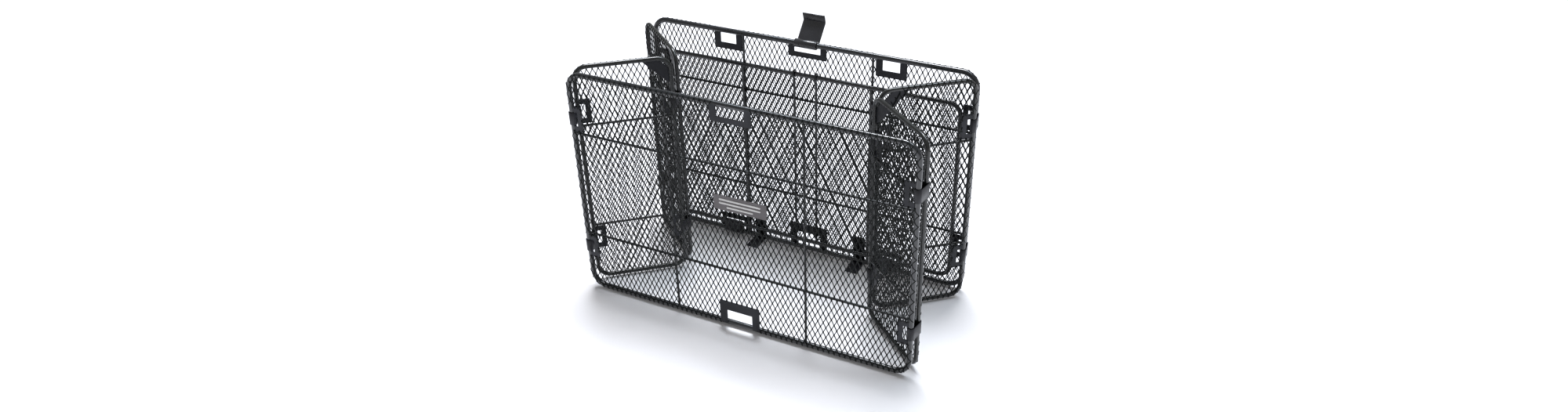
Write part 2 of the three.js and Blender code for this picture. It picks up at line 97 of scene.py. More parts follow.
# A centre wire of the floor straightens below the rail and curls over it between these angles.
WIRE_STRAIGHT = 12.0
CURL_FROM, CURL_TO = math.radians(261), math.radians(-75.6)

# Expanded mesh: diamonds on end, their bonds as wide as two strands.
CELL_WIDE, CELL_TALL = 6.3, 12.6
STRAND_HALF, STRAND_THICK = 0.56, 0.5
BOND_HALF, BOND_OFFSET = 0.9, 0.42
STRAND_TILT = math.radians(34)
PLATE_LAP = 1.2  # mesh ends lie this far over a plate's edge
WRAP_ANGLES = [math.radians(a) for a in (22, 44, 66)]  # round the outside of a bar


# ---------------------------------------------------------------- where things are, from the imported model
JOINTS = {j["name"]: j for j in frame["record"]["behaviour"]["joints"]}


def joint_at(name):
    return Vector(JOINTS[name]["pos_m"])


def box_size(node):
    low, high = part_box(node)
    return high - low


def box_middle(node):
    low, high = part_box(node)
    return (low + high) / 2


FOOT = joint_at("floor_tilt")  # on the axis of the back's bottom bar
TOP = joint_at("latch_swing")  # on the axis of its top bar
HEIGHT = (TOP.z - FOOT.z) / MM
HALF_LONG = abs(joint_at("back_left_strap_swing").x) / MM  # middle of a long panel to its side bars
HALF_WIDTH = (joint_at("left_ridge_strap_turn") - joint_at("left_rear_hinge")).length / MM
STRAP_HEIGHTS = {w: (box_middle(f"back_left_{w}_strap").z - FOOT.z) / MM for w in ("upper", "lower")}


class Place:
    """A flat drawing's place in the basket: an origin and the directions of u and n."""

    def __init__(self, origin, along, out):
        self.origin = Vector(origin)
        self.along = Vector(along).normalized()
        self.out = Vector(out).normalized()

    def matrix(self):
        columns = (self.along, self.out, Vector((0, 0, 1)))
        turn = Matrix([[c[row] * MM for c in columns] for row in range(3)]).to_4x4()
        return Matrix.Translation(self.origin) @ turn


# ---------------------------------------------------------------- shapes
class Shape:
    """Vertices and faces, collected in a flat drawing's millimetres."""

    def __init__(self):
        self.vertices, self.faces = [], []

    def add(self, vertices, faces):
        start = len(self.vertices)
        self.vertices.extend(map(tuple, vertices))
        self.faces.extend(tuple(start + i for i in face) for face in faces)
        return self

    def sweep(self, points, ups, profile, closed=False, scales=None):
        """Sweeps a profile (side, up) along points, mitred at each bend."""
        points, ups, profile = np.array(points, float), np.array(ups, float), np.array(profile, float)
        steps = np.roll(points, -1, 0) - points
        steps /= np.linalg.norm(steps, axis=1)[:, None]
        before, after = np.roll(steps, 1, 0), steps.copy()
        if not closed:
            before[0], after[-1] = steps[0], steps[-2]
        ahead = before + after
        ahead /= np.linalg.norm(ahead, axis=1)[:, None]
        mitre = 1 / np.maximum(np.sum(ahead * before, 1), 0.5)
        side = np.cross(ahead, ups)
        side /= np.linalg.norm(side, axis=1)[:, None]
        size = np.ones(len(points)) if scales is None else np.array(scales, float)
        across = profile[None, :, 0, None] * side[:, None] * (mitre * size)[:, None, None]
        upward = profile[None, :, 1, None] * ups[:, None] * size[:, None, None]
        vertices = (points[:, None] + across + upward).reshape(-1, 3)
        rings, around = len(points), len(profile)
        faces = []
        for ring in range(rings if closed else rings - 1):
            here, there = ring * around, (ring + 1) % rings * around
            for k in range(around):
                following = (k + 1) % around
                faces.append((here + k, here + following, there + following, there + k))
        if not closed:
            faces.append(tuple(reversed(range(around))))
            faces.append(tuple(range((rings - 1) * around, rings * around)))
        return self.add(vertices, faces)

    def slab(self, outline, n0, n1):
        """A flat plate from an outline of (u, z) points, between two heights along n."""
        count = len(outline)
        vertices = [(u, n, z) for n in (n0, n1) for u, z in outline]
        faces = [tuple(range(count)), tuple(reversed(range(count, 2 * count)))]
        faces += [(k, k + count, (k + 1) % count + count, (k + 1) % count) for k in range(count)]
        return self.add(vertices, faces)


def circle(radius, sides=16):
    turns = [2 * math.pi * k / sides for k in range(sides)]
    return [(radius * math.cos(a), radius * math.sin(a)) for a in turns]


def strip(wide, thick, soft=0.25):
    """The section of a sheet strip with softened edges."""
    w, t = wide / 2, thick / 2
    corners = [(w, t), (-w, t), (-w, -t), (w, -t)]
    points = []
    for x, y in corners:
        sx, sy = math.copysign(soft, x), math.copysign(soft, y)
        pair = [(x, y - sy), (x - sx, y)]
        points += pair if x * y > 0 else pair[::-1]
    return points


def arc(centre, radius, start, stop, steps):
    """Points of an arc in a plane, angles in radians."""
    turns = [start + (stop - start) * k / steps for k in range(steps + 1)]
    return [(centre[0] + radius * math.cos(a), centre[1] + radius * math.sin(a)) for a in turns]


def rounded_rectangle(u0, u1, z0, z1, corner, steps=10):
    points = []
    for quarter, (u, z) in enumerate(((u1, z0), (u1, z1), (u0, z1), (u0, z0))):
        centre = (u + (corner if u == u0 else -corner), z + (corner if z == z0 else -corner))
        start = (quarter - 1) * math.pi / 2
        points += arc(centre, corner, start, start + math.pi / 2, steps)
    return points


def bar_ring(shape, outline, corner, radius):
    """A round bar bent to a rectangle; its butt weld in the middle of its foot is not drawn."""
    path = [(u, 0, z) for u, z in rounded_rectangle(*outline, corner)]
    shape.sweep(path, [(0, 1, 0)] * len(path), circle(radius, 20), closed=True)


def rod(shape, start, end):
    """A straight rod whose welded ends flare out."""
    start, end = Vector(start), Vector(end)
    length = (end - start).length
    stations = [*FLARE_REACH, *(length - reach for reach in reversed(FLARE_REACH))]
    flare = [1 + (ROD_FLARE - 1) * left for left in FLARE_LEFT]
    points = [start.lerp(end, s / length) for s in stations]
    shape.sweep(points, [(0, 1, 0)] * len(points), circle(ROD_R, 12), scales=flare + flare[::-1])


def weld_bead(shape, middle, size):
    """A flattened blob of weld."""
    rings, around = 5, 10
    vertices, faces = [], []
    for ring in range(rings + 1):
        polar = math.pi * ring / rings
        for k in range(around):
            turn = 2 * math.pi * k / around
            unit = (math.sin(polar) * math.cos(turn), math.sin(polar) * math.sin(turn), math.cos(polar))
            vertices.append([m + s * x for m, s, x in zip(middle, size, unit)])
    for ring in range(rings):
        for k in range(around):
            following = (k + 1) % around
            here, below = ring * around, (ring + 1) * around
            faces.append((here + k, below + k, below + following, here + following))
    shape.add(vertices, faces)


# ---------------------------------------------------------------- expanded mesh
def edge_distance(u, z, outline, corner):
    """Distance outside a rounded rectangle, negative inside, and the direction away from it."""
    u0, u1, z0, z1 = outline
    du, dz = u - (u0 + u1) / 2, z - (z0 + z1) / 2
    over_u, over_z = abs(du) - (u1 - u0) / 2 + corner, abs(dz) - (z1 - z0) / 2 + corner
    if over_u > 0 and over_z > 0:
        reach = math.hypot(over_u, over_z)
        return reach - corner, (math.copysign(over_u / reach, du), math.copysign(over_z / reach, dz))
    if over_u > over_z:
        return over_u - corner, (math.copysign(1, du), 0)
    return over_z - corner, (0, math.copysign(1, dz))


class MeshArea:
    """Where a panel has mesh: inside its bars, outside its plates, and below a brace."""

    def __init__(self, outline, corner, holes=(), brace_line=math.inf):
        self.outline, self.corner, self.holes, self.brace_line = outline, corner, holes, brace_line

    def holds(self, u, z):
        if edge_distance(u, z, self.outline, self.corner)[0] > 0 or u + z > self.brace_line:
            return False
        return not any(u0 < u < u1 and z0 < z < z1 for u0, u1, z0, z1 in self.holes)

    def border(self, inside, outside):
        """The last point inside on the way to a point outside."""
        for _ in range(9):
            middle = ((inside[0] + outside[0]) / 2, (inside[1] + outside[1]) / 2)
            if self.holds(*middle):
                inside = middle
            else:
                outside = middle
        return inside

    def runs(self, strand):
        """The stretches of a strand that lie in the area."""
        run, found = [], []
        for here, following in zip(strand, strand[1:] + [None]):
            if self.holds(*here):
                run.append(here)
                if following is None or not self.holds(*following):
                    if following is not None:
                        run.append(self.border(here, following))
                    found.append(run)
                    run = []
            elif following is not None and self.holds(*following):
                run = [self.border(following, here)]
        return [r for r in found if len(r) > 2]


def strand_points(middle, side, z0, z1):
    """One zigzag strand: side is the way that it leans first."""
    points = []
    level = math.floor(z0 / CELL_TALL) * 2
    while level * CELL_TALL / 2 < z1 + CELL_TALL:
        at_bond = BOND_OFFSET if level % 2 == 0 else CELL_WIDE / 2 - BOND_OFFSET
        u, z = middle + side * at_bond, level * CELL_TALL / 2
        points += [(u, z - BOND_HALF), (u, z + BOND_HALF)]
        level += 1
    return points


def wrap(run, area, out_n, bar_radius):
    """Stations past the end of a run, bent round the outside of the bar that it is welded to."""
    (u1, z1), (u0, z0) = run[-1], run[-2]
    gap, (ou, oz) = edge_distance(u1, z1, area.outline, area.corner)
    if gap < -0.1:
        return [], []
    length = math.hypot(u1 - u0, z1 - z0) or 1
    du, dz = (u1 - u0) / length, (z1 - z0) / length
    slide = max(-1, min(1, (du * -oz + dz * ou) / max(du * ou + dz * oz, 0.3)))
    radius = bar_radius - SHEET_SINK
    points, ups = [], []
    for angle in WRAP_ANGLES:
        reach, along = radius * math.sin(angle), slide * radius * angle
        fall = out_n - radius + radius * math.cos(angle)
        points.append((u1 + ou * reach - oz * along, fall, z1 + oz * reach + ou * along))
        ups.append((ou * math.sin(angle), math.cos(angle), oz * math.sin(angle)))
    return points, ups


def expanded_mesh(shape, area, n, bar_radius, wrapped=True):
    """Fills an area with zigzag strands that meet in bonds, in columns from its middle outwards."""
    u0, u1, z0, z1 = area.outline
    columns = math.ceil((u1 - u0) / CELL_WIDE / 2) + 1
    middle = (u0 + u1) / 2
    flat = [(STRAND_HALF * math.cos(a), STRAND_THICK * math.sin(a)) for a in np.arange(6) * math.pi / 3]
    for column in range(-columns, columns + 1):
        for side in (-1, 1):
            tilt = STRAND_TILT * side
            profile = [(x * math.cos(tilt) - y * math.sin(tilt), x * math.sin(tilt) + y * math.cos(tilt))
                       for x, y in flat]
            strand = strand_points(middle + column * CELL_WIDE, side, z0, z1)
            for run in area.runs(strand):
                points = [(u, n, z) for u, z in run]
                ups = [(0, 1, 0)] * len(points)
                if wrapped:
                    after, after_ups = wrap(run, area, n, bar_radius)
                    before, before_ups = wrap(run[::-1], area, n, bar_radius)
                    points = before[::-1] + points + after
                    ups = before_ups[::-1] + ups + after_ups
                shape.sweep(points, ups, profile)


# ---------------------------------------------------------------- materials
CLOUD_SCALE, CHIP_SCALE, PATCH_SCALE, PEEL_SCALE = 38.0, 240.0, 90.0, 700.0
CLOUD_STOPS, CHIP_STOPS, PATCH_STOPS = (0.38, 0.72), (0.66, 0.72), (0.3, 0.7)
PEEL_DEPTH = 0.0004
COAT_ROUGHNESS = 0.12


def node(tree, kind, **values):
    made = tree.nodes.new(kind)
    for key, value in values.items():
        if hasattr(made, key):
            setattr(made, key, value)
        else:
            made.inputs[key.replace("_", " ")].default_value = value
    return made


def noise(tree, coordinates, scale, detail=3.0, roughness=0.55):
    made = node(tree, "ShaderNodeTexNoise")
    made.inputs["Scale"].default_value = scale
    made.inputs["Detail"].default_value = detail
    made.inputs["Roughness"].default_value = roughness
    tree.links.new(coordinates.outputs["Object"], made.inputs["Vector"])
    return made


def ramp(tree, source, stops, colours):
    """A colour ramp between two stops."""
    made = node(tree, "ShaderNodeValToRGB")
    for element, at, colour in zip(made.color_ramp.elements, stops, colours):
        element.position = at
        element.color = (*colour, 1)
    tree.links.new(source, made.inputs["Fac"])
    return made


def grey(value):
    return (value, value, value)


def powder_coat(name, deep, dusty, gloss, worn=None, peel=0.08, shine=0.3, coat=0.1):
    """Powder coat on steel: cloudy dust, fine orange peel, uneven gloss and worn specks."""
    made = bpy.data.materials.new(name)
    made.use_nodes = True
    tree = made.node_tree
    shader = tree.nodes["Principled BSDF"]
    coordinates = node(tree, "ShaderNodeTexCoord")
    cloud = noise(tree, coordinates, CLOUD_SCALE)
    colour = ramp(tree, cloud.outputs["Fac"], CLOUD_STOPS, (deep, dusty)).outputs["Color"]
    if worn:
        chips = noise(tree, coordinates, CHIP_SCALE, 5.0, 0.7)
        specks = ramp(tree, chips.outputs["Fac"], CHIP_STOPS, (grey(0), grey(1)))
        mixed = node(tree, "ShaderNodeMix", data_type="RGBA")
        tree.links.new(specks.outputs["Color"], mixed.inputs["Factor"])
        tree.links.new(colour, mixed.inputs["A"])
        mixed.inputs["B"].default_value = (*worn, 1)
        colour = mixed.outputs["Result"]
    tree.links.new(colour, shader.inputs["Base Color"])
    patches = noise(tree, coordinates, PATCH_SCALE, 4.0)
    uneven = ramp(tree, patches.outputs["Fac"], PATCH_STOPS, [grey(value) for value in gloss])
    tree.links.new(uneven.outputs["Color"], shader.inputs["Roughness"])
    bump = node(tree, "ShaderNodeBump")
    bump.inputs["Strength"].default_value = peel
    bump.inputs["Distance"].default_value = PEEL_DEPTH
    tree.links.new(noise(tree, coordinates, PEEL_SCALE, 2.0).outputs["Fac"], bump.inputs["Height"])
    tree.links.new(bump.outputs["Normal"], shader.inputs["Normal"])
    shader.inputs["Specular IOR Level"].default_value = shine
    shader.inputs["Coat Weight"].default_value = coat
    shader.inputs["Coat Roughness"].default_value = COAT_ROUGHNESS
    return made


# The bars' colours all lean slightly blue, a painted reflection of the cool light seen in their highlights;
# the cloud and the specks are the coat's own dust and wear.
BAR_COAT_PAINTED_BLUE_REFLECTION = powder_coat("bar_coat_painted_blue_reflection", (0.003, 0.004, 0.006), (0.008, 0.010, 0.014), (0.14, 0.28),
                       worn=(0.04, 0.05, 0.065), shine=0.6, coat=0.6)
HALF_COAT = powder_coat("half_coat", (0.003, 0.004, 0.004), (0.009, 0.011, 0.010), (0.2, 0.36),
                        worn=(0.05, 0.05, 0.042), shine=0.5, coat=0.4)
ROD_COAT = powder_coat("rod_coat", (0.003, 0.004, 0.005), (0.009, 0.011, 0.013), (0.2, 0.34),
                       worn=(0.04, 0.05, 0.055), shine=0.5, coat=0.4)
MESH_COAT = powder_coat("mesh_coat", (0.002, 0.003, 0.003), (0.007, 0.010, 0.009), (0.22, 0.36), shine=0.16,
                        coat=0.0)
PLATE_COAT = powder_coat("plate_coat", (0.018, 0.019, 0.023), (0.036, 0.038, 0.046), (0.36, 0.52),
                         worn=(0.06, 0.06, 0.07), peel=0.12, shine=0.25, coat=0.0)
STRAP_COAT = powder_coat("strap_coat", (0.013, 0.013, 0.016), (0.028, 0.028, 0.034), (0.3, 0.46),
                         worn=(0.08, 0.08, 0.09), peel=0.12, coat=0.0)
LATCH_COAT = powder_coat("latch_coat", (0.008, 0.008, 0.010), (0.018, 0.018, 0.022), (0.2, 0.34),
                         worn=(0.08, 0.08, 0.085), peel=0.1, shine=0.6, coat=0.3)
LABEL_COAT = powder_coat("label_coat", (0.115, 0.105, 0.108), (0.15, 0.14, 0.145), (0.42, 0.55), peel=0.1)
RELIEF_COAT = powder_coat("relief_coat", (0.66, 0.65, 0.64), (0.78, 0.77, 0.76), (0.4, 0.52), peel=0.1)


# ---------------------------------------------------------------- pieces
SHARP_ANGLE = math.radians(40)


def piece(name, body, place, shape, material, replaced=(), bevel=0.0):
    """Makes an object from a shape, in place, riding on a body."""
    data = bpy.data.meshes.new(name)
    data.from_pydata(shape.vertices, [], shape.faces)
    matrix = place.matrix()
    data.transform(matrix)
    if matrix.determinant() < 0:
        data.flip_normals()
    data.materials.append(material)
    made = bpy.data.objects.new(name, data)
    bpy.context.scene.collection.objects.link(made)
    if bevel:
        cut = made.modifiers.new("soft edges", "BEVEL")
        cut.width = bevel * MM
        cut.segments = 2
        cut.limit_method = "ANGLE"
    data.shade_smooth()
    if bevel:
        data.set_sharp_from_angle(angle=SHARP_ANGLE)
    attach(made, body)
    if replaced:
        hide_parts(*replaced)
    return made


def u_outline(plate, base, up):
    """A U plate on a bar at height base: up is 1 where it stands on the bar, -1 where it hangs."""
    u, half, tall = plate["u"], plate["wide"] / 2, plate["tall"] * up
    inner, foot = half - plate["border"], (plate["tall"] - plate["foot"]) * up
    points = [(-half, 0), (-half, tall), (half, tall), (half, 0), (inner, 0), (inner, foot), (-inner, foot),
              (-inner, 0)]
    outline = [(u + a, base + b) for a, b in points]
    return outline if up > 0 else outline[::-1]


def mirrored(plate):
    return {**plate, "u": -plate["u"]}


def c_outline(u, z, side, bar_radius):
    """A C plate round a strap, open towards the bar at u; side is the way into the panel."""
    wide, leg = HINGE_PLATE["wide"], HINGE_PLATE["leg"]
    half, gap, near = HINGE_PLATE["tall"] / 2, HINGE_PLATE["open"] / 2, bar_radius - PLATE_NEAR
    points = [(near, -half), (wide, -half), (wide, half), (near, half), (near, gap), (wide - leg, gap),
              (wide - leg, -gap), (near, -gap)]
    outline = [(u + side * a, z + b) for a, b in points]
    return outline if side > 0 else outline[::-1]


def plate_hole(plate, base, up):
    """The part of the mesh that a U plate replaces, up to the outside of its bar."""
    low, high = sorted((base - up * MAIN_R, base + up * (plate["tall"] - PLATE_LAP)))
    half = plate["wide"] / 2 - PLATE_LAP
    return (plate["u"] - half, plate["u"] + half, low, high)


def hinge_hole(u, z, side):
    """The part of the mesh that a C plate replaces."""
    edges = sorted((u - side * MAIN_R, u + side * (HINGE_PLATE["wide"] - PLATE_LAP)))
    half = HINGE_PLATE["tall"] / 2 - PLATE_LAP
    return (*edges, z - half, z + half)


def long_panel(name, place, with_rack_plates):
    """The back or the front: bars, window and hinge plates, mesh and a grid of four rods."""
    outline = (-HALF_LONG, HALF_LONG, 0, HEIGHT)
    bars = Shape()
    bar_ring(bars, outline, MAIN_CORNER, MAIN_R)
    hanging, standing = [TOP_WINDOW], [BOTTOM_WINDOW]
    if with_rack_plates:
        hanging += [HOOK_PLATE, mirrored(HOOK_PLATE)]
        standing += [FLOOR_PLATE, mirrored(FLOOR_PLATE)]
    plates, holes = Shape(), []
    rest = MAIN_R - PLATE_REST
    for group, base, up in ((hanging, HEIGHT, -1), (standing, 0, 1)):
        for plate in group:
            plates.slab(u_outline(plate, base, up), rest, rest + PLATE_THICK)
            holes.append(plate_hole(plate, base, up))
            for leg in (-1, 1):
                at = plate["u"] + leg * (plate["wide"] - plate["border"]) / 2
                bead = (plate["border"] * LEG_BEAD["wide"], LEG_BEAD["deep"], LEG_BEAD["tall"])
                weld_bead(bars, (at, rest, base + up * MAIN_R * LEG_BEAD["up"]), bead)
    for z in STRAP_HEIGHTS.values():
        for side in (-1, 1):
            n1 = MAIN_R - PLATE_SINK
            plates.slab(c_outline(side * HALF_LONG, z, -side, MAIN_R), n1 - PLATE_THICK, n1)
            holes.append(hinge_hole(side * HALF_LONG, z, -side))
    piece(f"{name}_bars", name, place, bars, BAR_COAT_PAINTED_BLUE_REFLECTION, [f"{name}_frame"])
    piece(f"{name}_plates", name, place, plates, PLATE_COAT, bevel=PLATE_EDGE)

    mesh = Shape()
    expanded_mesh(mesh, MeshArea(outline, MAIN_CORNER, holes), MAIN_R - SHEET_SINK, MAIN_R)
    piece(f"{name}_expanded_mesh", name, place, mesh, MESH_COAT, [f"{name}_mesh"])

    rods = Shape()
    n = MAIN_R - SHEET_SINK - STRAND_THICK - ROD_R
    foot = MAIN_R * ROD_SINK
    end = HALF_LONG - foot
    for z in ROD_HEIGHTS.values():
        rod(rods, (-end, n, z), (end, n, z))
        for side in (-1, 1):
            weld_bead(rods, (side * LONG_ROD_U, n, z), CROSS_BEAD)
    for u in (-LONG_ROD_U, LONG_ROD_U):
        rod(rods, (u, n, foot), (u, n, HEIGHT - foot))
    piece(f"{name}_cross_rods", name, place, rods, ROD_COAT, [f"{name}_rods"])


def half_panel(name, place):
    """Half of a folding end: bars, hinge plates, corner brace, mesh and two rods."""
    body = f"{name}_half"
    outline = (0, HALF_WIDTH, 0, HEIGHT)
    bars = Shape()
    bar_ring(bars, outline, HALF_CORNER, HALF_R)
    piece(f"{name}_bars", body, place, bars, HALF_COAT, [f"{name}_frame"])

    plates, holes = Shape(), []
    n1 = HALF_R - PLATE_SINK
    for z in STRAP_HEIGHTS.values():
        for u, side in ((0, 1), (HALF_WIDTH, -1)):
            plates.slab(c_outline(u, z, side, HALF_R), n1 - PLATE_THICK, n1)
            holes.append(hinge_hole(u, z, side))
    piece(f"{name}_plates", body, place, plates, PLATE_COAT, bevel=PLATE_EDGE)

    brace = Shape()
    run, width = BRACE["run"], BRACE["band"] * math.sqrt(2)
    rise = [(HALF_WIDTH - run, HEIGHT), (HALF_WIDTH, HEIGHT - run), (HALF_WIDTH, HEIGHT - run + width),
            (HALF_WIDTH - run + width, HEIGHT)]
    brace.slab(rise[::-1], BRACE["n"] - BRACE["thick"] / 2, BRACE["n"] + BRACE["thick"] / 2)
    piece(f"{name}_brace", body, place, brace, PLATE_COAT, [f"{name}_corner_brace"],
          bevel=BRACE["edge"])

    mesh = Shape()
    brace_line = HALF_WIDTH + HEIGHT - run + BRACE["lap"]
    area = MeshArea(outline, HALF_CORNER, holes, brace_line)
    expanded_mesh(mesh, area, HALF_R - SHEET_SINK, HALF_R)
    piece(f"{name}_expanded_mesh", body, place, mesh, MESH_COAT, [f"{name}_mesh"])

    n = HALF_R - SHEET_SINK - STRAND_THICK - ROD_R
    end = HALF_R * ROD_SINK
    for where, z in ROD_HEIGHTS.items():
        cross = Shape()
        rod(cross, (end, n, z), (HALF_WIDTH - end, n, z))
        piece(f"{name}_{where}_cross_rod", body, place, cross, ROD_COAT, [f"{name}_{where}_rod"])


def oval_path(pitch, near, far, steps=14):
    """The middle line of a strip bent round two bars, the near one at the origin."""
    touch = math.acos((near - far) / pitch)
    return arc((pitch, 0), far, -touch, touch, steps) + arc((0, 0), near, touch, 2 * math.pi - touch, steps)


def collar(cad, body, start, end, bars, strap, tall_axis):
    """A sheet strap round two bars whose axes go through start and end, along tall_axis."""
    towards = end - start
    pitch = towards.length / MM
    tall_axis = Vector(tall_axis)
    across = tall_axis.cross(towards).normalized()
    wall = strap["wall"] + PAINT
    near, far = (r + strap["play"] + strap["wall"] / 2 for r in bars)
    path = oval_path(pitch, near, far)
    loop = [(x, 0, y) for x, y in path]
    shape = Shape()
    shape.sweep(loop, [(0, 1, 0)] * len(path), strip(wall, strap["tall"]), closed=True)
    for offset in (-SPOT_WELD["up"], SPOT_WELD["up"]):  # where the strip's ends lap
        at = (loop[-1][0] + pitch / 2, offset * strap["tall"], -near - wall * SPOT_WELD["sink"])
        weld_bead(shape, at, SPOT_WELD["size"])
    made = piece(f"{cad}_sheet", body, Place((0, 0, 0), (1, 0, 0), (0, 1, 0)), shape, STRAP_COAT, [cad])
    turn = Matrix((towards.normalized(), tall_axis, -across)).transposed().to_4x4()
    origin = start + tall_axis * (box_middle(cad) - start).dot(tall_axis)
    made.data.transform(Matrix.Translation(origin) @ turn)


# ---------------------------------------------------------------- the folding ends
BACK_Y = FOOT.y
FRONT_Y = joint_at("front_left_strap_swing").y
FOLD_Y = joint_at("side_fold").y
UP, ACROSS = (0, 0, 1), (1, 0, 0)


def folding_end(side_name, side):
    """The two halves of an end, each from its hinge on a long panel to its bar at the ridge."""
    ridge = joint_at(f"{side_name}_ridge_strap_turn")
    front_ridge = Vector((ridge.x, 2 * FOLD_Y - ridge.y, ridge.z))
    for end_name, ridge_bar in (("rear", ridge), ("front", front_ridge)):
        hinge = joint_at(f"{side_name}_{end_name}_hinge")
        along = (ridge_bar - hinge).normalized()
        out = Vector((side * abs(along.y), -along.x * side * math.copysign(1, along.y), 0))
        if out.y * along.y < 0:
            out.y = -out.y
        half_panel(f"{side_name}_{end_name}", Place((hinge.x, hinge.y, FOOT.z), along, out))


def hinge_straps(side_name, side):
    """The straps of an end: at each height one on either corner and one round the ridge."""
    ridge = joint_at(f"{side_name}_ridge_strap_turn")
    second_ridge = ridge + Vector((0, -STRAP["ridge"] * MM, 0))
    corners = {
        "back": (joint_at(f"back_{side_name}_strap_swing"), joint_at(f"{side_name}_rear_hinge")),
        "front": (Vector((side * HALF_LONG * MM, FRONT_Y, ridge.z)), joint_at(f"{side_name}_front_hinge")),
    }
    for where in STRAP_HEIGHTS:
        for end_name, (start, end) in corners.items():
            corner = f"{end_name}_{side_name}"
            collar(f"{corner}_{where}_strap", f"{corner}_straps", start, end, (MAIN_R, HALF_R), STRAP, UP)
        collar(f"ridge_{side_name}_{where}_strap", f"ridge_{side_name}_straps", ridge, second_ridge,
               (HALF_R, HALF_R), STRAP, UP)


# ---------------------------------------------------------------- the floor, folded up against the back
FLOOR_LOW, FLOOR_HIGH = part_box("floor_frame")
FLOOR_Y = (FLOOR_LOW.y + FLOOR_HIGH.y) / 2
FLOOR_HALF = (FLOOR_HIGH.x - FLOOR_LOW.x) / MM / 2 - HALF_R
FLOOR_FOOT = (FLOOR_LOW.z - FOOT.z) / MM + HALF_R
FLOOR_TOP = (FLOOR_HIGH.z - FOOT.z) / MM - HALF_R
FLOOR_PLACE = Place((0, FLOOR_Y, FOOT.z), (1, 0, 0), (0, 1, 0))
FLOOR_ROD_N = FLOOR_SHEET_N - STRAND_THICK - ROD_R
FLOOR_ROD_FOOT = FLOOR_FOOT + HALF_R * ROD_SINK


def floor_bars():
    bars = Shape()
    bar_ring(bars, (-FLOOR_HALF, FLOOR_HALF, FLOOR_FOOT, FLOOR_TOP), HALF_CORNER, HALF_R)
    piece("floor_bars", "floor", FLOOR_PLACE, bars, BAR_COAT_PAINTED_BLUE_REFLECTION, ["floor_frame"])


def floor_mesh():
    """Flat mesh behind the floor's bars, cut out round its straps and the curls of its wires."""
    holes = []
    half_strap, half_wire = FLOOR_STRAP["tall"] / 2 + FLOOR_GAP, ROD_R + FLOOR_GAP
    strap_top = FLOOR_FOOT + HALF_R + FLOOR_STRAP["wall"] + FLOOR_GAP
    curl_foot = FLOOR_TOP - HALF_R - 2 * ROD_R - FLOOR_GAP
    for _, side in SIDES:
        strap_u, wire_u = side * FLOOR_PLATE["u"], side * FLOOR_CENTRE_U
        holes.append((strap_u - half_strap, strap_u + half_strap, 0, strap_top))
        holes.append((wire_u - half_wire, wire_u + half_wire, curl_foot, HEIGHT))
    half = FLOOR_HALF - FLOOR_INSET
    outline = (-half, half, FLOOR_FOOT + FLOOR_INSET, FLOOR_TOP - FLOOR_INSET)
    mesh = Shape()
    expanded_mesh(mesh, MeshArea(outline, HALF_CORNER - FLOOR_INSET, holes), FLOOR_SHEET_N, HALF_R, False)
    piece("floor_expanded_mesh", "floor", FLOOR_PLACE, mesh, MESH_COAT, ["floor_mesh"])


def floor_rod(side_name, side):
    straight = Shape()
    u, top = side * LONG_ROD_U, FLOOR_TOP - HALF_R * ROD_SINK
    rod(straight, (u, FLOOR_ROD_N, FLOOR_ROD_FOOT), (u, FLOOR_ROD_N, top))
    piece(f"floor_{side_name}_upright_rod", "floor", FLOOR_PLACE, straight, ROD_COAT,
          [f"floor_{side_name}_rod"])


def floor_wire(side_name, side):
    """A centre wire, which runs up behind the rail and curls over it."""
    curl = arc((0, FLOOR_TOP), HALF_R + ROD_R, CURL_FROM, CURL_TO, 22)
    run = [(FLOOR_ROD_N, FLOOR_ROD_FOOT), (FLOOR_ROD_N, FLOOR_TOP - WIRE_STRAIGHT), *curl]
    path = [(side * FLOOR_CENTRE_U, n, z) for n, z in run]
    wire = Shape()
    wire.sweep(path, [ACROSS] * len(path), circle(ROD_R, 12))
    piece(f"floor_centre_{side_name}_curled_wire", "floor", FLOOR_PLACE, wire, ROD_COAT,
          [f"floor_centre_{side_name}_wire"])


def floor_strap(side_name):
    cad = f"floor_{side_name}_strap"
    foot_bar = Vector((box_middle(cad).x, BACK_Y, FOOT.z))
    floor_bar = Vector((foot_bar.x, FLOOR_Y, FOOT.z + FLOOR_FOOT * MM))
    collar(cad, "floor", foot_bar, floor_bar, (MAIN_R, HALF_R), FLOOR_STRAP, ACROSS)


# ---------------------------------------------------------------- tongues, latch hook and label
BACK_PLACE = Place((0, BACK_Y, FOOT.z), (1, 0, 0), (0, 1, 0))
FRONT_PLACE = Place((0, FRONT_Y, FOOT.z), (-1, 0, 0), (0, -1, 0))


def floor_tongue(side_name, side):
    """A tongue of the back that turns in under the floor's edge."""
    cad = f"{side_name}_floor_tongue"
    low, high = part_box(cad)
    rear = (high.y - BACK_Y) / MM - TONGUE["thick"] / 2
    under = (low.z - FOOT.z) / MM + TONGUE["thick"] / 2
    bend, up, reach, hold = TONGUE["radius"], TONGUE["up"], TONGUE["reach"], TONGUE["hold"]
    corner = arc((rear - bend, under + bend), bend, 0, -math.pi / 2, 6)
    run = [(rear, up), (rear, up - hold), *corner, (hold - reach, under), (-reach, under)]
    path = [(side * TONGUE["u"], n, z) for n, z in run]
    tongue = Shape()
    tongue.sweep(path, [ACROSS] * len(path), strip(TONGUE["thick"], TONGUE["wide"], TONGUE["soft"]))
    piece(f"{side_name}_tongue_sheet", "back", BACK_PLACE, tongue, PLATE_COAT, [cad])


def direction(angle):
    return Vector((math.cos(angle), math.sin(angle)))


